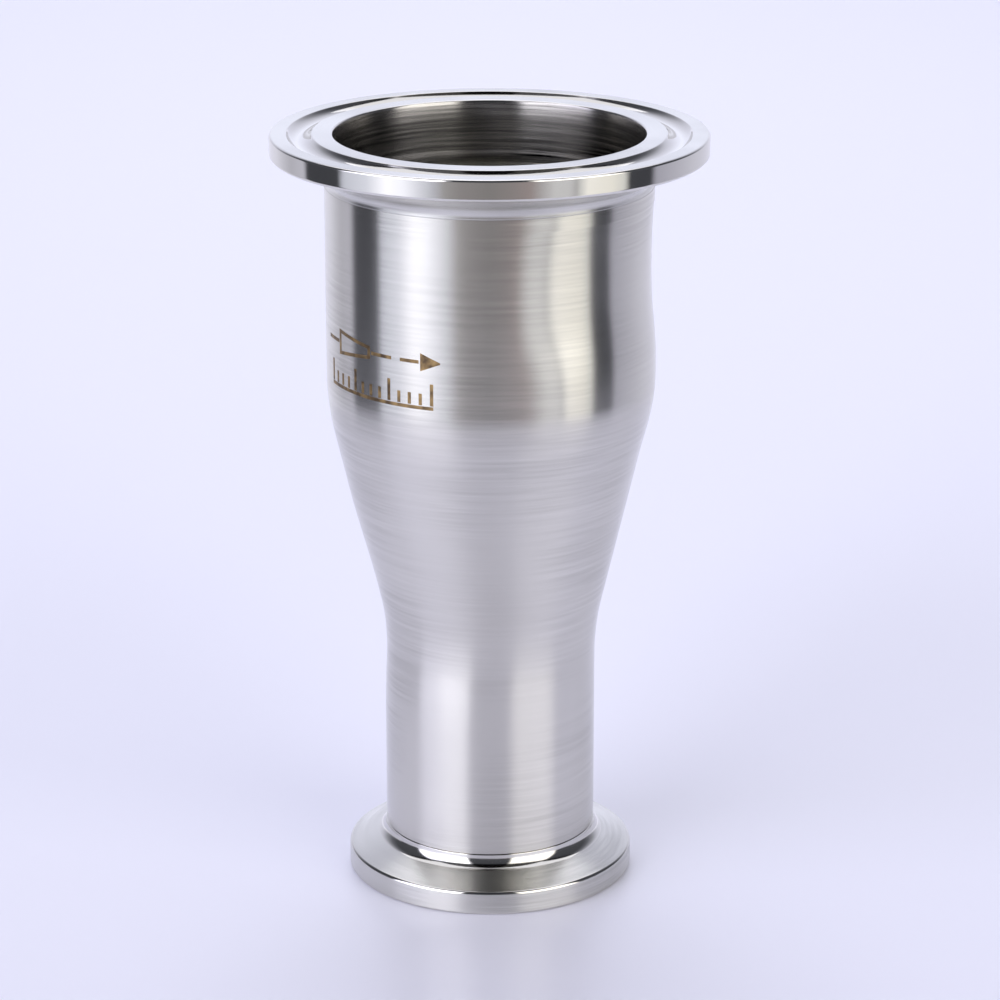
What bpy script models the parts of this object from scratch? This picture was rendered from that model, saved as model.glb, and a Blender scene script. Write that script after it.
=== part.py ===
"""Clamp-end pipe reducer: a pressed reducing tube with a turned clamp ferrule welded to each end.

Metres, +Z up. The origin is the centre of the small end's sealing face, and the bore runs
along +Z to the large end's sealing face.
"""

import math
from typing import NamedTuple

import bpy
from mathutils import Matrix, Vector

# The whole fitting
OVERALL_LENGTH = 0.0900  # from one sealing face to the other

# Reducing tube, sized on its outside
WALL = 0.0012
LARGE_TUBE_OD = 0.0380
SMALL_TUBE_OD = 0.0250
CONE_START = 0.0305  # height at which the small tube's side would meet the cone's
CONE_LENGTH = 0.0277  # along the axis, from that corner to the large tube's
BEND_RADIUS = 0.0280  # outside, where each tube runs into the cone

# Clamp ferrules. Across the sealing face from the bore: inner land, gasket groove, outer land
LARGE_INNER_LAND = 0.00255
LARGE_OUTER_LAND = 0.0020
LARGE_RIM_THICKNESS = 0.0024
SMALL_INNER_LAND = 0.0010
SMALL_OUTER_LAND = 0.0018
SMALL_RIM_THICKNESS = 0.0028
GROOVE_WIDTH = 0.0029
GROOVE_DEPTH = 0.0009
CLAMP_ANGLE = math.radians(20)  # slope of the back face that the clamp draws on
RIM_ROUNDING = 0.00025
NECK_FILLET = 0.0015  # between the back face and the neck
NECK_STRAIGHT = 0.0002  # from that fillet to the end that is welded

# Weld rings
WELD_WIDTH = 0.0010
WELD_ROOT = 0.00005  # how far the dressed root still stands into the bore
JOINT_GAP = 0.0003  # left between solids that touch on the real fitting

# Smoothness of the turned surfaces
TURN_STEPS = 64
ARC_TOLERANCE = 0.00001

POLISHED_STEEL = (0.80, 0.79, 0.77, 1.0)
BRUSHED_STEEL = (0.62, 0.61, 0.60, 1.0)
WELD_STEEL = (0.55, 0.54, 0.52, 1.0)


def arc_steps(radius, angle):
    """How many straight steps keep an arc within the tolerance."""
    step = 2 * math.acos(1 - ARC_TOLERANCE / radius)
    return max(2, math.ceil(abs(angle) / step))


def arc(start, centre, angle):
    """Points from start round centre, first and last included."""
    steps = arc_steps((start - centre).length, angle)
    turns = (Matrix.Rotation(angle * step / steps, 2) for step in range(steps + 1))
    return [centre + turn @ (start - centre) for turn in turns]


def rounded_corner(before, corner, after, radius):
    """The arc that rounds off a corner between its two neighbours."""
    way_in = (corner - before).normalized()
    way_out = (after - corner).normalized()
    turn = math.atan2(way_in.x * way_out.y - way_in.y * way_out.x, way_in.dot(way_out))
    start = corner - way_in * radius * math.tan(abs(turn) / 2)
    side = Vector((-way_in.y, way_in.x)) * math.copysign(radius, turn)
    return arc(start, start + side, turn)


def bowed_line(start, end, dip):
    """The arc between two points, bowed into the material by dip, or out of it if that is negative."""
    half = (end - start) / 2
    radius = (half.length_squared + dip**2) / (2 * abs(dip))
    into = Vector((half.y, -half.x)).normalized() * math.copysign(1, dip)
    centre = start + half - into * (radius - abs(dip))
    angle = 2 * math.asin(half.length / radius)
    return arc(start, centre, math.copysign(angle, dip))


def material(name, colour, roughness):
    steel = bpy.data.materials.new(name)
    steel.use_nodes = True
    shader = steel.node_tree.nodes["Principled BSDF"]
    shader.inputs["Base Color"].default_value = colour
    shader.inputs["Metallic"].default_value = 1.0
    shader.inputs["Roughness"].default_value = roughness
    return steel


def turned(name, outline, steel):
    """A ring turned about its own Z axis. The outline's points are (radius, height), and they
    run down its outer side and back up the bore, so the material is on their right."""
    count = len(outline)
    mesh = bpy.data.meshes.new(name)
    sides = [(step, (step + 1) % count) for step in range(count)]
    mesh.from_pydata([(point.x, 0, point.y) for point in outline], sides, [])
    mesh.materials.append(steel)
    piece = bpy.data.objects.new(name, mesh)
    turn = piece.modifiers.new("Turn", "SCREW")
    turn.steps = turn.render_steps = TURN_STEPS
    turn.use_merge_vertices = True
    turn.merge_threshold = ARC_TOLERANCE / 2
    turn.use_smooth_shade = True
    return piece


class End(NamedTuple):
    """One end of the fitting. Radii, and heights above that end's sealing face."""

    tube_od: float
    inner_land: float
    outer_land: float
    rim_thickness: float

    @property
    def neck(self):
        return self.tube_od / 2

    @property
    def bore(self):
        return self.neck - WALL

    @property
    def groove(self):
        """The groove's inner edge."""
        return self.bore + self.inner_land

    @property
    def rim(self):
        return self.groove + GROOVE_WIDTH + self.outer_land

    @property
    def back(self):
        """Where the sloping back face would meet the neck."""
        return self.rim_thickness + (self.rim - self.neck) * math.tan(CLAMP_ANGLE)

    @property
    def neck_end(self):
        fillet_rise = NECK_FILLET * math.tan((math.pi / 2 - CLAMP_ANGLE) / 2)
        return self.back + fillet_rise + NECK_STRAIGHT

    @property
    def tube_end(self):
        """Where the reducing tube begins, past the weld and the gap on each side of it."""
        return self.neck_end + WELD_WIDTH + 2 * JOINT_GAP


LARGE_END = End(LARGE_TUBE_OD, LARGE_INNER_LAND, LARGE_OUTER_LAND, LARGE_RIM_THICKNESS)
SMALL_END = End(SMALL_TUBE_OD, SMALL_INNER_LAND, SMALL_OUTER_LAND, SMALL_RIM_THICKNESS)


def ferrule(name, end):
    """A clamp ferrule with its sealing face down on its own origin and its neck rising."""
    neck_end = Vector((end.neck, end.neck_end))
    root = Vector((end.neck, end.back))
    rim_back = Vector((end.rim, end.rim_thickness))
    rim_face = Vector((end.rim, 0))
    groove_outer = Vector((end.groove + GROOVE_WIDTH, 0))
    groove_inner = Vector((end.groove, 0))
    outline = [
        neck_end,
        *rounded_corner(neck_end, root, rim_back, NECK_FILLET),
        *rounded_corner(root, rim_back, rim_face, RIM_ROUNDING),
        *rounded_corner(rim_back, rim_face, groove_outer, RIM_ROUNDING),
        *bowed_line(groove_outer, groove_inner, GROOVE_DEPTH),
        Vector((end.bore, 0)),
        Vector((end.bore, end.neck_end)),
    ]
    return turned(name, outline, material(name, POLISHED_STEEL, 0.1))


def small_ferrule():
    return ferrule("small_ferrule", SMALL_END)


def large_ferrule():
    """The same form as the small one, turned over so that it faces up at the top."""
    piece = ferrule("large_ferrule", LARGE_END)
    piece.location.z = OVERALL_LENGTH
    piece.rotation_euler.x = math.pi
    return piece


def weld_ring(name, end, height):
    """A butt weld, ground flush outside, with its root bead standing into the bore."""
    outline = [
        Vector((end.neck, WELD_WIDTH)),
        Vector((end.neck, 0)),
        *bowed_line(Vector((end.bore, 0)), Vector((end.bore, WELD_WIDTH)), -WELD_ROOT),
    ]
    piece = turned(name, outline, material(name, WELD_STEEL, 0.2))
    piece.location.z = height
    return piece


def small_weld():
    return weld_ring("small_weld", SMALL_END, SMALL_END.neck_end + JOINT_GAP)


def large_weld():
    height = OVERALL_LENGTH - LARGE_END.neck_end - JOINT_GAP - WELD_WIDTH
    return weld_ring("large_weld", LARGE_END, height)


def reducer_body():
    """One tube pressed down from the large size to the small one, of the same wall all along."""
    large, small = LARGE_END.neck, SMALL_END.neck
    slope = math.atan2(large - small, CONE_LENGTH)
    shift = WALL * math.tan(slope / 2)  # the bore's corners stand this much above the outside's
    top = Vector((large, OVERALL_LENGTH - LARGE_END.tube_end))
    shoulder = Vector((large, CONE_START + CONE_LENGTH))
    waist = Vector((small, CONE_START))
    bottom = Vector((small, SMALL_END.tube_end))
    bore_bottom, bore_top = bottom - Vector((WALL, 0)), top - Vector((WALL, 0))
    bore_waist = waist + Vector((-WALL, shift))
    bore_shoulder = shoulder + Vector((-WALL, shift))
    outline = [
        top,
        *rounded_corner(top, shoulder, waist, BEND_RADIUS),
        *rounded_corner(shoulder, waist, bottom, BEND_RADIUS),
        bottom,
        bore_bottom,
        *rounded_corner(bore_bottom, bore_waist, bore_shoulder, BEND_RADIUS + WALL),
        *rounded_corner(bore_waist, bore_shoulder, bore_top, BEND_RADIUS - WALL),
        bore_top,
    ]
    return turned("reducer_body", outline, material("reducer_body", BRUSHED_STEEL, 0.3))


for leftover in list(bpy.data.objects):
    bpy.data.objects.remove(leftover)

fitting = bpy.data.collections.new("clamp_end_reducer")
bpy.context.scene.collection.children.link(fitting)
frame = bpy.data.objects.new("fitting_frame", None)
fitting.objects.link(frame)
for make in (reducer_body, large_ferrule, small_ferrule, large_weld, small_weld):
    piece = make()
    piece.parent = frame
    fitting.objects.link(piece)
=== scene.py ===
"""A clamp-end pipe reducer in 304 stainless steel: a pressed reducing tube with a turned and polished
clamp ferrule welded to each end, standing on its small end on a pale studio table. Metres, +Z up."""

import math

import bmesh
import bpy
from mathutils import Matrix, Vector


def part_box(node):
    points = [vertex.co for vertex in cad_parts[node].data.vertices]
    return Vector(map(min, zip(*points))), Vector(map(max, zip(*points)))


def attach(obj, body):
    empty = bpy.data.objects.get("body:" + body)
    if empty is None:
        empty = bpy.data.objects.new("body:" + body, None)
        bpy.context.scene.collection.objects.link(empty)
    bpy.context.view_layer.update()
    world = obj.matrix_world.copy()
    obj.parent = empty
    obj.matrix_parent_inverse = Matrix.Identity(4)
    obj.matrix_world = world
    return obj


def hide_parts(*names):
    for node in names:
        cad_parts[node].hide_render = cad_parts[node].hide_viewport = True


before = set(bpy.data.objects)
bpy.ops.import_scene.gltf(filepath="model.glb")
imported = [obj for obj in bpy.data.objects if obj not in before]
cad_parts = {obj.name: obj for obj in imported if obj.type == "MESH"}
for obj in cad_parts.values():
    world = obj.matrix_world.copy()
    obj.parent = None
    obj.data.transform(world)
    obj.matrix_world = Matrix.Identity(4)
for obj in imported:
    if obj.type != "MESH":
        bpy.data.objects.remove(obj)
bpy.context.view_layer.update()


# --- Camera -------------------------------------------------------------------------------------
# A long lens a little over 40 cm in front of the fitting, and looking down on it by about 18 degrees.
CAMERA_PLACE = (0.0012, -0.4022, 0.1755)
LOOKING_DOWN = 17.88
LENS = 128.9

bpy.ops.object.select_all(action="DESELECT")
bpy.ops.object.camera_add(location=CAMERA_PLACE, rotation=(math.radians(90 - LOOKING_DOWN), 0, 0))
camera = bpy.context.object
camera.name = "studio_camera"
camera.data.lens = LENS
camera.data.sensor_width = 36
camera.data.clip_start = 0.01
bpy.context.scene.camera = camera
bpy.context.scene.view_settings.view_transform = "Standard"


# --- Reducing tube ------------------------------------------------------------------------------
# One length of 304 stainless tube, 38 mm across, pressed down over a mandrel to 25 mm. The press
# leaves it a little out of true, on the right of the large end and on the left of the waist. It is
# then spun, and brushed with a belt outside and with a flap wheel in the bore.
ROUND_SIDES = 256
RING_SPACING = 0.0015
SAME_PLACE = 0.00001
TUBE_WALL = 0.0012
SHOULDER_HEIGHT = 0.0582
WAIST_HEIGHT = 0.0305
BEND_RADIUS = 0.028
BEND_SEGMENTS = 12
PRESSED_SIDE = 0.6  # slope in plan of the lines that bound each side that the press moves
SHARP_EDGE = math.radians(40)
BORE_FINISH = 1  # each piece's second material, after the one on its outside


def start_ring(name, radius, height):
    """A circle of edges on the Z axis, selected and ready to extrude."""
    bpy.ops.object.select_all(action="DESELECT")
    bpy.ops.mesh.primitive_circle_add(vertices=ROUND_SIDES, radius=radius, location=(0, 0, height))
    piece = bpy.context.object
    piece.name = piece.data.name = name
    bpy.ops.object.transform_apply(location=True, rotation=True, scale=True)
    bpy.ops.object.mode_set(mode="EDIT")
    bpy.ops.mesh.select_mode(type="EDGE")
    bpy.ops.mesh.select_all(action="SELECT")
    return piece


def extrude_ring(piece, radius, height):
    """Extrudes the selected circle of edges, and brings the new one to a radius and a height."""
    vertex = next(v for v in bmesh.from_edit_mesh(piece.data).verts if v.select)
    grow, rise = radius / vertex.co.xy.length, height - vertex.co.z
    bpy.ops.mesh.extrude_edges_move(TRANSFORM_OT_translate={"value": (0, 0, rise)})
    bpy.ops.transform.resize(value=(grow, grow, 1), center_override=(0, 0, 0))


def select_edges(piece, wanted):
    """Selects the edges whose two ends are both wanted."""
    bpy.ops.mesh.select_all(action="DESELECT")
    mesh = bmesh.from_edit_mesh(piece.data)
    for edge in mesh.edges:
        if all(wanted(v.co) for v in edge.verts):
            edge.select_set(True)
    bmesh.update_edit_mesh(piece.data)


def round_corner(piece, radius, height, setback, segments):
    """Bevels the ring of edges at that radius and height."""
    select_edges(piece, lambda co: math.hypot(co.xy.length - radius, co.z - height) < SAME_PLACE)
    bpy.ops.mesh.bevel(offset=setback, segments=segments, profile=0.5, affect="EDGES", clamp_overlap=False)


def cut_rings(piece, low, high):
    """Cuts rings at an even spacing into the long strips between two heights."""
    select_edges(piece, lambda co: low - SAME_PLACE < co.z < high + SAME_PLACE)
    mesh = bmesh.from_edit_mesh(piece.data)
    for edge in mesh.edges:
        if abs(edge.verts[0].co.z - edge.verts[1].co.z) < RING_SPACING:
            edge.select_set(False)
    bmesh.update_edit_mesh(piece.data)
    bpy.ops.mesh.subdivide(number_cuts=round((high - low) / RING_SPACING))


def push_side(piece, side, height, push, reach):
    """Pushes the side at +X or -X out, or in if the push is negative, fading out over a reach."""
    bpy.ops.mesh.select_mode(type="VERT")
    bpy.ops.mesh.select_all(action="DESELECT")
    mesh = bmesh.from_edit_mesh(piece.data)
    for vertex in mesh.verts:
        x, y, z = vertex.co
        vertex.select_set(abs(z - height) < RING_SPACING and side * x > abs(y) * PRESSED_SIDE)
    radius = max(vertex.co.x for vertex in mesh.verts if vertex.select) if side > 0 else small_radius
    bmesh.update_edit_mesh(piece.data)
    bpy.ops.transform.resize(
        value=(1 + push / radius, 1 + push / radius, 1),
        center_override=(0, 0, height),
        use_proportional_edit=True,
        proportional_edit_falloff="SMOOTH",
        proportional_size=reach,
    )
    bpy.ops.mesh.select_mode(type="EDGE")


def close_piece(piece):
    """Merges what meets, turns the faces outwards and leaves edit mode."""
    bpy.ops.mesh.select_all(action="SELECT")
    bpy.ops.mesh.remove_doubles(threshold=SAME_PLACE / 5)
    bpy.ops.mesh.normals_make_consistent(inside=False)
    bpy.ops.object.mode_set(mode="OBJECT")


def apply_modifier(piece, kind, **settings):
    """Adds a modifier to the active piece and applies it."""
    modifier = piece.modifiers.new(kind.title(), kind)
    for name, value in settings.items():
        setattr(modifier, name, value)
    bpy.ops.object.modifier_apply(modifier=modifier.name)


def shade_turned(piece):
    """Smooth shading that keeps flat lands flat beside their rounded edges."""
    bpy.ops.object.shade_smooth_by_angle(angle=SHARP_EDGE)
    apply_modifier(piece, "WEIGHTED_NORMAL", keep_sharp=True)


def dress(piece, materials, slot, *nodes):
    """Gives a finished piece its materials and its place in the frame."""
    for material in materials:
        piece.data.materials.append(material)
    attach(piece, "root")
    if nodes:
        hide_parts(*nodes)


tube_low, tube_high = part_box("reducer_body")
tube_bottom, tube_top = tube_low.z, tube_high.z
large_radius, small_radius = tube_high.x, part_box("small_weld")[1].x
bend_angle = math.atan2(large_radius - small_radius, SHOULDER_HEIGHT - WAIST_HEIGHT)
bend_setback = BEND_RADIUS * math.tan(bend_angle / 2)

tube = start_ring("tube", small_radius, tube_bottom)
extrude_ring(tube, small_radius, WAIST_HEIGHT)
extrude_ring(tube, large_radius, SHOULDER_HEIGHT)
extrude_ring(tube, large_radius, tube_top)
round_corner(tube, small_radius, WAIST_HEIGHT, bend_setback, BEND_SEGMENTS)
round_corner(tube, large_radius, SHOULDER_HEIGHT, bend_setback, BEND_SEGMENTS)
cut_rings(tube, tube_bottom, WAIST_HEIGHT - bend_setback)
bend_rise = bend_setback * math.cos(bend_angle)
cut_rings(tube, WAIST_HEIGHT + bend_rise, SHOULDER_HEIGHT - bend_rise)
cut_rings(tube, SHOULDER_HEIGHT + bend_setback, tube_top)
close_piece(tube)
bpy.ops.object.mode_set(mode="EDIT")
push_side(tube, side=1, height=0.0755, push=-0.0003, reach=0.009)
push_side(tube, side=1, height=0.0620, push=0.00035, reach=0.009)
push_side(tube, side=-1, height=0.0345, push=-0.00035, reach=0.013)
bpy.ops.object.mode_set(mode="OBJECT")
apply_modifier(
    tube, "SOLIDIFY", thickness=TUBE_WALL, offset=-1, use_even_offset=True, material_offset=BORE_FINISH
)
shade_turned(tube)


def linear(hex_colour):
    """An sRGB hex colour as the linear values that a shader takes."""
    parts = [int(hex_colour[place : place + 2], 16) / 255 for place in (1, 3, 5)]
    return [part / 12.92 if part <= 0.04045 else ((part + 0.055) / 1.055) ** 2.4 for part in parts] + [1]


def new_material(name):
    material = bpy.data.materials.new(name)
    material.use_nodes = True
    return material


def add_node(owner, kind, inputs, **settings):
    """Adds a node, sets its properties, and gives each input a value or a link from another node."""
    node = owner.node_tree.nodes.new(kind)
    for name, value in settings.items():
        setattr(node, name, value)
    for socket, value in inputs.items():
        if isinstance(value, bpy.types.NodeSocket):
            owner.node_tree.links.new(value, node.inputs[socket])
        else:
            node.inputs[socket].default_value = value
    return node


def set_shader(owner, **inputs):
    """Sets the Principled shader's own sockets, by value or by link."""
    shader = owner.node_tree.nodes["Principled BSDF"]
    for name, value in inputs.items():
        socket = shader.inputs[name.replace("_", " ")]
        if isinstance(value, bpy.types.NodeSocket):
            owner.node_tree.links.new(value, socket)
        else:
            socket.default_value = value


# Brush lines are drawn about 0.4 mm apart, coarser than they are, so that they show. They run for
# about 14 mm, and stand out more in some patches, about 17 mm across, than in others.
LINES_PER_METRE = (70, 70, 2600)
PATCHES_PER_METRE = (60, 60, 60)


def brush_lines(owner, scale, detail):
    """Noise from 0 to 1, which a scale per metre stretches into lines round the Z axis."""
    place = add_node(owner, "ShaderNodeTexCoord", {})
    stretch = add_node(owner, "ShaderNodeMapping", {"Vector": place.outputs["Object"], "Scale": scale})
    settings = {"Vector": stretch.outputs[0], "Scale": 1.0, "Detail": detail, "Roughness": 0.6}
    return add_node(owner, "ShaderNodeTexNoise", settings).outputs[0]


def brushed_steel(name, colour, roughness, contrast, depth):
    """Stainless steel with fine lines round it, which spread a highlight across them. The contrast
    is the share of light that the lines lose, and the depth is theirs, in metres."""
    steel = new_material(name)
    lines = brush_lines(steel, LINES_PER_METRE, detail=2.0)
    patches = brush_lines(steel, PATCHES_PER_METRE, detail=1.0)
    line = add_node(steel, "ShaderNodeMapRange", {"Value": lines, "From Min": 0.3, "From Max": 0.7})
    faint, strong = contrast * 0.2, contrast * 1.8
    wear = add_node(
        steel,
        "ShaderNodeMapRange",
        {"Value": patches, "From Min": 0.4, "From Max": 0.6, "To Min": faint, "To Max": strong},
    )
    loss = add_node(steel, "ShaderNodeMath", {0: line.outputs[0], 1: wear.outputs[0]}, operation="MULTIPLY")
    shade = add_node(steel, "ShaderNodeMath", {0: 1.0, 1: loss.outputs[0]}, operation="SUBTRACT")
    tint = add_node(
        steel, "ShaderNodeVectorMath", {0: linear(colour)[:3], "Scale": shade.outputs[0]}, operation="SCALE"
    )
    bump = add_node(steel, "ShaderNodeBump", {"Height": lines, "Strength": 1.0, "Distance": depth})
    around = add_node(steel, "ShaderNodeTangent", {}, direction_type="RADIAL", axis="Z")
    set_shader(
        steel,
        Base_Color=tint.outputs[0],
        Metallic=1.0,
        Roughness=roughness,
        Anisotropic=0.75,
        Anisotropic_Rotation=0.25,
        Normal=bump.outputs[0],
        Tangent=around.outputs[0],
    )
    return steel


# Outside, a fine belt leaves a satin that still mirrors the light tent. Inside, the flap wheel's
# lines are deeper and darker.
brushed_outside = brushed_steel(
    "belt_brushed_304_stainless", "#DDDBD4", roughness=0.21, contrast=0.1, depth=0.0000006
)
brushed_inside = brushed_steel(
    "flap_brushed_304_stainless", "#CDCAC5", roughness=0.23, contrast=0.6, depth=0.000008
)
dress(tube, [brushed_outside, brushed_inside], "brushed_steel", "reducer_body")


# --- Clamp ferrules -----------------------------------------------------------------------------
# Each ferrule is turned from 304 bar: a flat sealing face with a round-bottomed gasket groove, a
# narrow rim, a back face sloping at 20 degrees for the clamp, and a hollow fillet into the neck that
# is butt-welded to the tube. The hollows and edges are buffed to a mirror, and the flats less so.
CLAMP_ANGLE = math.radians(20)
LARGE_INNER_LAND = 0.00255  # between the bore and the groove
SMALL_INNER_LAND = 0.001
LARGE_RIM_THICKNESS = 0.0024
SMALL_RIM_THICKNESS = 0.0028
RIM_ROUNDING = 0.0003
GROOVE_WIDTH = 0.0029
GROOVE_DEPTH = 0.0009
GROOVE_SEGMENTS = 14
GROOVE_EDGE_BREAK = 0.00008
BORE_FLARE = 0.00016
BORE_FLARE_DEPTH = 0.0014
FLARE_BLEND = 0.0009
MOUTH_ROUNDING = 0.0002
NECK_FILLET_SETBACK = 0.00105
NECK_END_BREAK = 0.00005


def make_ferrule(name, neck, inner_land, rim_thickness, neck_end):
    """A ferrule that stands on its sealing face, with its rim as wide as its CAD node's."""
    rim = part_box(name)[1].x
    bore = neck - TUBE_WALL
    groove = bore + inner_land
    back = rim_thickness + (rim - neck) * math.tan(CLAMP_ANGLE)
    ferrule = start_ring(name + "_polished", bore + BORE_FLARE, 0)
    extrude_ring(ferrule, groove, 0)
    arc_radius = (GROOVE_WIDTH**2 / 4 + GROOVE_DEPTH**2) / (2 * GROOVE_DEPTH)
    half_angle = math.asin(GROOVE_WIDTH / 2 / arc_radius)
    for segment in range(1, GROOVE_SEGMENTS + 1):
        angle = half_angle * (2 * segment / GROOVE_SEGMENTS - 1)
        depth = GROOVE_DEPTH - arc_radius * (1 - math.cos(angle))
        extrude_ring(ferrule, groove + GROOVE_WIDTH / 2 + arc_radius * math.sin(angle), depth)
    extrude_ring(ferrule, rim, 0)
    extrude_ring(ferrule, rim, rim_thickness)
    extrude_ring(ferrule, neck, back)
    extrude_ring(ferrule, neck, neck_end)
    extrude_ring(ferrule, bore, neck_end)
    extrude_ring(ferrule, bore, BORE_FLARE_DEPTH)
    extrude_ring(ferrule, bore + BORE_FLARE, 0)
    close_piece(ferrule)
    bpy.ops.object.mode_set(mode="EDIT")
    round_corner(ferrule, neck, back, NECK_FILLET_SETBACK, segments=14)
    round_corner(ferrule, rim, rim_thickness, RIM_ROUNDING, segments=6)
    round_corner(ferrule, rim, 0, RIM_ROUNDING, segments=5)
    round_corner(ferrule, groove, 0, GROOVE_EDGE_BREAK, segments=3)
    round_corner(ferrule, groove + GROOVE_WIDTH, 0, GROOVE_EDGE_BREAK, segments=3)
    round_corner(ferrule, bore + BORE_FLARE, 0, MOUTH_ROUNDING, segments=4)
    round_corner(ferrule, bore, BORE_FLARE_DEPTH, FLARE_BLEND, segments=8)
    round_corner(ferrule, neck, neck_end, NECK_END_BREAK, segments=2)
    bpy.ops.object.mode_set(mode="OBJECT")
    return ferrule


small_rim, small_ferrule_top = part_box("small_ferrule")[1].xz
small_ferrule = make_ferrule(
    "small_ferrule", small_radius, SMALL_INNER_LAND, SMALL_RIM_THICKNESS, small_ferrule_top
)
shade_turned(small_ferrule)

large_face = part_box("large_ferrule")[1].z
large_neck_end = large_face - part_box("large_ferrule")[0].z
large_ferrule = make_ferrule(
    "large_ferrule", large_radius, LARGE_INNER_LAND, LARGE_RIM_THICKNESS, large_neck_end
)
bpy.ops.transform.rotate(value=math.pi, orient_axis="X", center_override=(0, 0, 0))
bpy.ops.transform.translate(value=(0, 0, large_face))
bpy.ops.object.transform_apply(location=True, rotation=True, scale=True)
shade_turned(large_ferrule)


# Buffed 304: a mirror with a faint orange peel about 3 mm across. The last of the turning lines
# spread its highlights a little.
mirror = new_material("mirror_polished_304_stainless")
place = add_node(mirror, "ShaderNodeTexCoord", {})
waves = {"Vector": place.outputs["Object"], "Scale": 320.0, "Detail": 2.0}
peel = add_node(mirror, "ShaderNodeTexNoise", waves)
bump = add_node(mirror, "ShaderNodeBump", {"Height": peel.outputs[0], "Strength": 0.6, "Distance": 0.00002})
around = add_node(mirror, "ShaderNodeTangent", {}, direction_type="RADIAL", axis="Z")
set_shader(
    mirror,
    Base_Color=linear("#DFDDD7"),
    Metallic=1.0,
    Roughness=0.1,
    Anisotropic=0.75,
    Anisotropic_Rotation=0.25,
    Normal=bump.outputs[0],
    Tangent=around.outputs[0],
)

# Fine-turned 304: the flats keep the tool's last lines, which soften what they mirror.
turned = brushed_steel(
    "fine_turned_304_stainless", "#DEDDD7", roughness=0.26, contrast=0.16, depth=0.000001
)
TURNED_FINISH = 2  # each ferrule's third material


def paint(piece, finish, wanted):
    """Gives faces a finish, where their centre's radius, height and outward tilt are as wanted."""
    for face in piece.data.polygons:
        outward = face.normal.xy.dot(face.center.xy.normalized())
        if wanted(face.center.xy.length, face.center.z, outward):
            face.material_index = finish


clamp_tilt = math.sin(CLAMP_ANGLE)
for ferrule, neck, face in (
    (small_ferrule, small_radius, 0),
    (large_ferrule, large_radius, large_face),
):
    paint(ferrule, BORE_FINISH, lambda radius, height, outward: outward < -0.8 and radius < neck)
    paint(ferrule, TURNED_FINISH, lambda radius, height, outward: abs(height - face) < SAME_PLACE)
    paint(ferrule, TURNED_FINISH, lambda radius, height, outward: abs(outward - clamp_tilt) < 0.01)

# The small rim's edge is turned too, and so is all of the large ferrule behind its rim.
small_edge = small_rim - SAME_PLACE
large_back = large_face - LARGE_RIM_THICKNESS
paint(small_ferrule, TURNED_FINISH, lambda radius, height, outward: radius > small_edge and outward > 0.99)
paint(large_ferrule, TURNED_FINISH, lambda radius, height, outward: height < large_back and outward > 0)
dress(small_ferrule, [mirror, brushed_inside, turned], "polished_steel", "small_ferrule")
dress(large_ferrule, [mirror, brushed_inside, turned], "polished_steel", "large_ferrule")


# --- Welds --------------------------------------------------------------------------------------
# A butt weld joins each neck to the tube. Outside it is ground flush and brushed with the tube;
# inside, its root is dressed until it stands only 0.05 mm into the bore.
WELD_ROOT = 0.00005
WELD_SEGMENTS = 8
SEAM_WIDTH = 0.00012
SMALL_SEAM_DEPTH = 0.0003


def make_weld(name, radius, neck_end, tube_end, seam_depth=0):
    """A flush ring with its root bowed into the bore, and perhaps an undercut line along the neck."""
    bore = radius - TUBE_WALL
    weld = start_ring(name + "_ground", radius - seam_depth, neck_end)
    if seam_depth:
        extrude_ring(weld, radius - seam_depth, neck_end + SEAM_WIDTH)
        extrude_ring(weld, radius, neck_end + SEAM_WIDTH)
    extrude_ring(weld, radius, tube_end)
    for segment in range(WELD_SEGMENTS + 1):
        share = segment / WELD_SEGMENTS
        swell = WELD_ROOT * math.sin(math.pi * share)
        extrude_ring(weld, bore - swell, tube_end + (neck_end - tube_end) * share)
    extrude_ring(weld, radius - seam_depth, neck_end)
    close_piece(weld)
    shade_turned(weld)
    return weld


small_weld = make_weld("small_weld", small_radius, small_ferrule_top, tube_bottom, SMALL_SEAM_DEPTH)
large_weld = make_weld("large_weld", large_radius, large_face - large_neck_end, tube_top)
for weld in (small_weld, large_weld):
    paint(weld, BORE_FINISH, lambda radius, height, outward: outward < -0.5)
dress(small_weld, [brushed_outside, brushed_inside], "weld_steel", "small_weld")
dress(large_weld, [brushed_outside, brushed_inside], "weld_steel", "large_weld")


# --- Laser marks --------------------------------------------------------------------------------
# A laser has annealed two rows of plain marks into the large end's wall: the pipe symbol of a
# reducer with a flow arrow, and below it a short scale. The oxide is gold brown, and its lines are
# 0.4 mm wide.
MARK_LINE = 0.0004
MARK_GAP = 0.0002
MARK_HEIGHT = 0.003
MARK_PROUD = 0.00002
UPPER_ROW = 0.066
LOWER_ROW = 0.062
MARKS_START = math.radians(-74)  # the bearing from the front at which the first pipe starts

# Distances round the tube from the marks' start
REDUCER_START = 0.0034
REDUCER_END = 0.0096
PIPE_END = 0.013
SHAFT_START = 0.0138
HEAD_START = 0.0166
HEAD_END = 0.019
SCALE_START = 0.0012
SCALE_STEP = 0.00138
SCALE_STEPS = 12


def add_patch(left, bottom, width, height, columns=0):
    """A flat patch facing forwards, in columns about 0.4 mm wide so that it can bend."""
    middle = (left + width / 2, 0, bottom + height / 2)
    bpy.ops.mesh.primitive_grid_add(
        x_subdivisions=columns or max(1, round(width / MARK_LINE)),
        y_subdivisions=1,
        size=1,
        location=middle,
        rotation=(math.pi / 2, 0, 0),
    )
    bpy.ops.transform.resize(value=(width, 1, height), center_override=middle)


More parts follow.
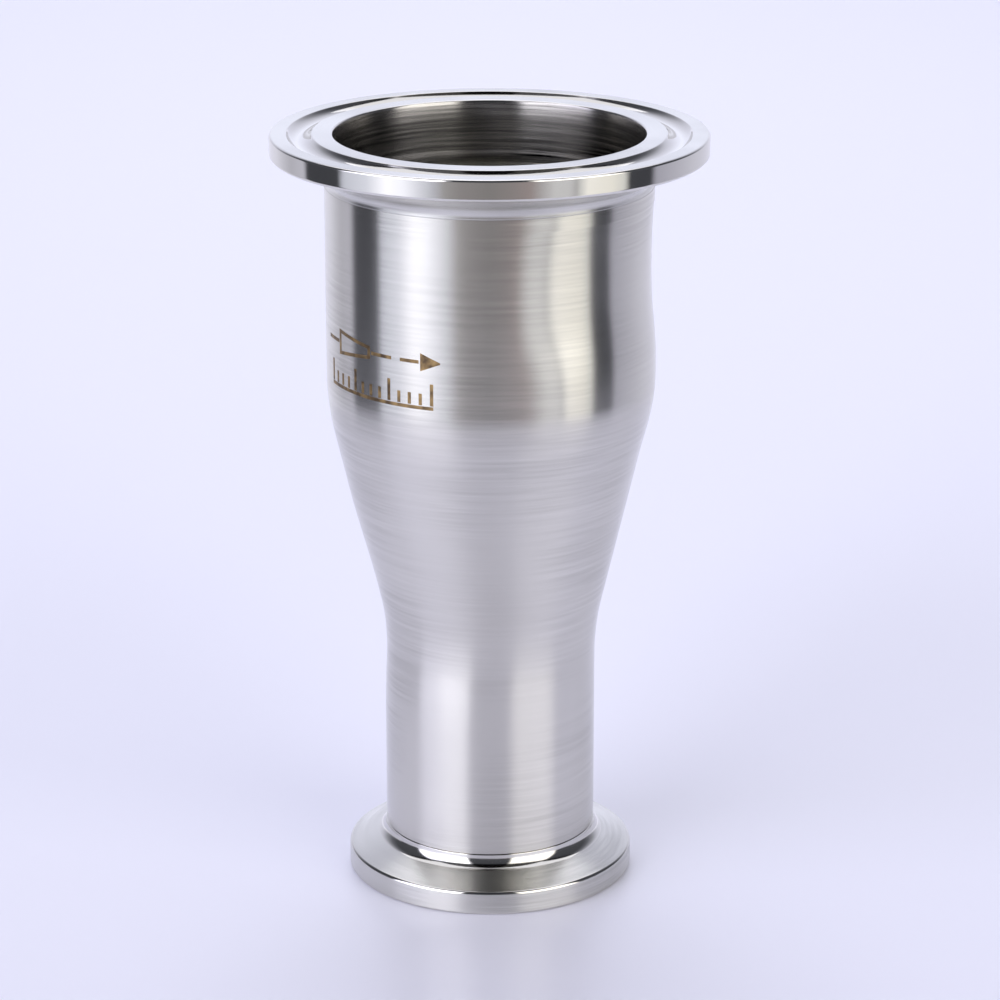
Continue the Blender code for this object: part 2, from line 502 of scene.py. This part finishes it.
def narrow_end(piece, at, share):
    """Draws the edge at one distance together, to a share of its height."""
    bpy.ops.mesh.select_mode(type="VERT")
    mesh = bmesh.from_edit_mesh(piece.data)
    corners = [vertex for vertex in mesh.verts if vertex.select and abs(vertex.co.x - at) < SAME_PLACE]
    middle = sum(vertex.co.z for vertex in corners) / len(corners)
    bpy.ops.mesh.select_all(action="DESELECT")
    for vertex in corners:
        vertex.select_set(True)
    bmesh.update_edit_mesh(piece.data)
    bpy.ops.transform.resize(value=(1, 1, share), center_override=(0, 0, middle))


bpy.ops.object.select_all(action="DESELECT")
bpy.ops.mesh.primitive_grid_add(x_subdivisions=1, y_subdivisions=1, size=MARK_LINE)
marks = bpy.context.object
marks.name = marks.data.name = "laser_marks"
bpy.ops.object.mode_set(mode="EDIT")
bpy.ops.mesh.delete(type="VERT")

# The reducer, as a tapered outline, and the head of the flow arrow, tapered almost to a point.
add_patch(REDUCER_START, UPPER_ROW, REDUCER_END - REDUCER_START, MARK_HEIGHT, columns=1)
narrow_end(marks, REDUCER_END, 0.5)
bpy.ops.mesh.select_all(action="SELECT")
bpy.ops.mesh.select_mode(type="FACE")
bpy.ops.mesh.inset(thickness=MARK_LINE, use_even_offset=True)
bpy.ops.mesh.delete(type="FACE")
add_patch(HEAD_START, UPPER_ROW + MARK_HEIGHT * 0.15, HEAD_END - HEAD_START, MARK_HEIGHT * 0.7, columns=1)
narrow_end(marks, HEAD_END, 0.08)
bpy.ops.mesh.select_mode(type="EDGE")
bpy.ops.mesh.select_all(action="SELECT")
bpy.ops.mesh.subdivide(number_cuts=15)

# A pipe on each side of the reducer, and the arrow's shaft.
pipe_line = UPPER_ROW + (MARK_HEIGHT - MARK_LINE) / 2
for left, right in ((0, REDUCER_START), (REDUCER_END, PIPE_END), (SHAFT_START, HEAD_START)):
    add_patch(left + MARK_GAP, pipe_line, right - left - 2 * MARK_GAP, MARK_LINE)

# The scale: a base line, and a tick at each step, every fourth one long.
add_patch(SCALE_START, LOWER_ROW, SCALE_STEP * SCALE_STEPS + MARK_LINE, MARK_LINE)
for step in range(SCALE_STEPS + 1):
    height = MARK_HEIGHT * (0.85 if step % 4 == 0 else 0.45)
    add_patch(SCALE_START + SCALE_STEP * step, LOWER_ROW + MARK_LINE + MARK_GAP / 2, MARK_LINE, height)
bpy.ops.object.mode_set(mode="OBJECT")

# The flat marks are bent round the tube, and given the thickness of a thin film.
for vertex in marks.data.vertices:
    bearing = MARKS_START + vertex.co.x / large_radius
    reach = large_radius + MARK_PROUD
    vertex.co = (reach * math.sin(bearing), -reach * math.cos(bearing), vertex.co.z)
apply_modifier(marks, "SOLIDIFY", thickness=2 * MARK_PROUD, offset=-1)

# Laser-annealed oxide: a thin metallic film in gold brown, darker where the beam lingered.
oxide = new_material("laser_annealed_oxide")
place = add_node(oxide, "ShaderNodeTexCoord", {})
clouds = {"Vector": place.outputs["Object"], "Scale": 900.0, "Detail": 3.0}
cloud = add_node(oxide, "ShaderNodeTexNoise", clouds)
film = add_node(oxide, "ShaderNodeValToRGB", {"Fac": cloud.outputs[0]})
film.color_ramp.elements[0].position = 0.35
film.color_ramp.elements[0].color = linear("#5E4E3C")
film.color_ramp.elements[1].position = 0.65
film.color_ramp.elements[1].color = linear("#A58A5E")
set_shader(oxide, Base_Color=film.outputs[0], Metallic=0.85, Roughness=0.4)
dress(marks, [oxide], "etched_mark")


# --- Table and light ----------------------------------------------------------------------------
# A wide white laminate table top, in a light tent: a soft box to the left and a dimmer one to the
# right, a pale back wall, and dark gaps between them and above the front. The steel mirrors only
# the table's near part, and beyond it the tent's low walls.
NEAR_TABLE = 0.175
FAR_TABLE = 4
TABLE_STEP = 0.00002


def make_table(name, size, height):
    """A round sheet of the table top, which is part of the setting."""
    bpy.ops.object.select_all(action="DESELECT")
    bpy.ops.mesh.primitive_circle_add(vertices=128, radius=size, fill_type="NGON", location=(0, 0, height))
    table = bpy.context.object
    table.name = name
    return table


laminate = new_material("white_laminate_table")
set_shader(laminate, Base_Color=linear("#EAEAF7"), Roughness=0.36)
near_table = make_table("table_near", NEAR_TABLE, 0)
far_table = make_table("table_far", FAR_TABLE, -TABLE_STEP)
near_table.data.materials.append(laminate)
far_table.data.materials.append(laminate)
far_table.visible_glossy = False

world = bpy.data.worlds.new("light_tent")
bpy.context.scene.world = world
world.use_nodes = True
place = add_node(world, "ShaderNodeTexCoord", {})
way = add_node(world, "ShaderNodeSeparateXYZ", {"Vector": place.outputs["Generated"]})
front = add_node(world, "ShaderNodeMath", {0: way.outputs["Y"], 1: -1.0}, operation="MULTIPLY")
bearing = add_node(world, "ShaderNodeMath", {0: way.outputs["X"], 1: front.outputs[0]}, operation="ARCTAN2")
whole_turn = {"Value": bearing.outputs[0], "From Min": -math.pi, "From Max": math.pi}
turn = add_node(world, "ShaderNodeMapRange", whole_turn)


def wall_ramp(colours):
    """The tent's walls, from colours at bearings in degrees from the front, to the right."""
    walls = add_node(world, "ShaderNodeValToRGB", {"Fac": turn.outputs[0]})
    ramp = walls.color_ramp
    while len(ramp.elements) < len(colours):
        ramp.elements.new(0.5)
    for element, (degrees, colour) in zip(ramp.elements, colours):
        element.position = (degrees + 180) / 360
        element.color = linear(colour)
    return walls.outputs[0]


LOW_LIGHT = 1.6  # how strongly the walls shine below level
HIGH_LIGHT = 4.4  # and above it
GAP = "#38393F"
DARK = "#242529"
# Below the table's edge the soft boxes fade, and the front is a grey floor.
low_walls = wall_ramp([
    (-180, "#C6C6D6"), (-145, "#BEBECC"), (-125, "#A0A0AC"), (-112, "#AAAAB8"), (-108, GAP),
    (-84, GAP), (-81, "#B2B5C4"), (-66, "#C4C7D6"), (-54, "#F0F1FE"), (-45, "#E4E6F4"),
    (-37, "#C8CAD8"), (-29, "#A8AAB6"), (-23, "#8A898C"), (-14, "#7C797C"), (0, "#737173"),
    (12, "#7B7678"), (21, "#857C7E"), (27, "#98969A"), (34, "#B2B2B7"), (42, "#B0B0B5"),
    (45, "#9A9A9E"), (48, "#BABABC"), (52, "#DAD8D6"), (66, "#D2D0CC"), (74, "#C0C0C0"), (77, GAP),
    (92, GAP), (96, "#9494A2"), (131, "#B0B0BE"), (180, "#C2C2D2"),
])
high_walls = wall_ramp([
    (-180, "#888A96"), (-163, "#787984"), (-150, "#6E6F79"), (-138, "#505158"), (-128, "#35363C"),
    (-118, DARK), (-83, DARK), (-80, "#B4B4C4"), (-62, "#CCCCDC"), (-46, "#F4F4FF"),
    (-26, "#F4F4FF"), (-22, DARK), (21, DARK), (26, "#CCCAC8"), (60, "#C8C6C4"), (72, "#B0AEAC"),
    (75, DARK), (118, DARK), (128, "#35363C"), (138, "#505158"),
    (150, "#6E6F79"), (163, "#787984"), (180, "#888A96"),
])

# The low walls turn into the high ones within 3.5 degrees of level. A Mix node's inputs 6 and 7 and
# its output 2 are its colours.
level = {"Value": way.outputs["Z"], "From Min": -0.06, "From Max": 0.06}
rise = add_node(world, "ShaderNodeMapRange", level)
walls = add_node(
    world, "ShaderNodeMix", {"Factor": rise.outputs[0], 6: low_walls, 7: high_walls}, data_type="RGBA"
)

# The side walls and the soft boxes dim as they rise, and end at about 50 degrees. The middle of the
# back wall goes on up to the diffuser.
across = add_node(world, "ShaderNodeMath", {0: way.outputs["X"], 1: way.outputs["X"]}, operation="MULTIPLY")
aside = add_node(
    world, "ShaderNodeMath", {0: way.outputs["Y"], 1: -0.3, 2: across.outputs[0]}, operation="MULTIPLY_ADD"
)
back_to_side = {"Value": aside.outputs[0], "From Min": -0.16, "From Max": -0.08}
sides = add_node(world, "ShaderNodeMapRange", back_to_side)
climb = add_node(world, "ShaderNodeMath", {0: way.outputs["Z"], 1: sides.outputs[0]}, operation="MULTIPLY")
fade = add_node(world, "ShaderNodeValToRGB", {"Fac": climb.outputs[0]})
fade.color_ramp.elements[0].position = 0.15
fade.color_ramp.elements[0].color = (1, 1, 1, 1)
fade.color_ramp.elements[1].position = 0.76
fade.color_ramp.elements[1].color = (0.02, 0.02, 0.02, 1)
fade.color_ramp.elements.new(0.66).color = (0.85, 0.85, 0.85, 1)
from_low_to_high = {"Value": rise.outputs[0], "To Min": LOW_LIGHT, "To Max": HIGH_LIGHT}
power = add_node(world, "ShaderNodeMapRange", from_low_to_high)
strength = add_node(
    world, "ShaderNodeMath", {0: power.outputs[0], 1: fade.outputs[0]}, operation="MULTIPLY"
)
tent_light = add_node(
    world, "ShaderNodeBackground", {"Color": walls.outputs[2], "Strength": strength.outputs[0]}
)

# The eye sees a plain pale background in place of the tent.
plain_light = world.node_tree.nodes["Background"]
plain_light.inputs["Color"].default_value = linear("#ECECFC")
eye = add_node(world, "ShaderNodeLightPath", {})
tent_or_plain = {0: eye.outputs["Is Camera Ray"], 1: tent_light.outputs[0], 2: plain_light.outputs[0]}
chosen = add_node(world, "ShaderNodeMixShader", tent_or_plain)
world.node_tree.links.new(chosen.outputs[0], world.node_tree.nodes["World Output"].inputs["Surface"])

DAYLIGHT = linear("#F6F6FF")[:3]


def add_light(name, location, tilt, width, depth, energy):
    """An area light that shines down, tilted towards the front, and can't be seen itself."""
    bpy.ops.object.select_all(action="DESELECT")
    bpy.ops.object.light_add(type="AREA", location=location, rotation=(-tilt, 0, 0))
    light = bpy.context.object
    light.name = name
    light.data.shape = "RECTANGLE"
    light.data.size = width
    light.data.size_y = depth
    light.data.energy = energy
    light.data.color = DAYLIGHT
    light.visible_camera = False
    return light


# The diffuser overhead reaches from a little in front of the fitting to well behind it. A lamp near
# its middle throws the fitting's soft shadow forwards over the table, and isn't mirrored in the steel.
add_light("overhead_diffuser", (0, 0.34, 1.0), tilt=0, width=1.44, depth=1.08, energy=5.45)
shadow_lamp = add_light(
    "shadow_lamp", (-0.05, 0.45, 1.0), tilt=math.radians(24), width=0.4, depth=0.4, energy=1.3
)
shadow_lamp.visible_glossy = False
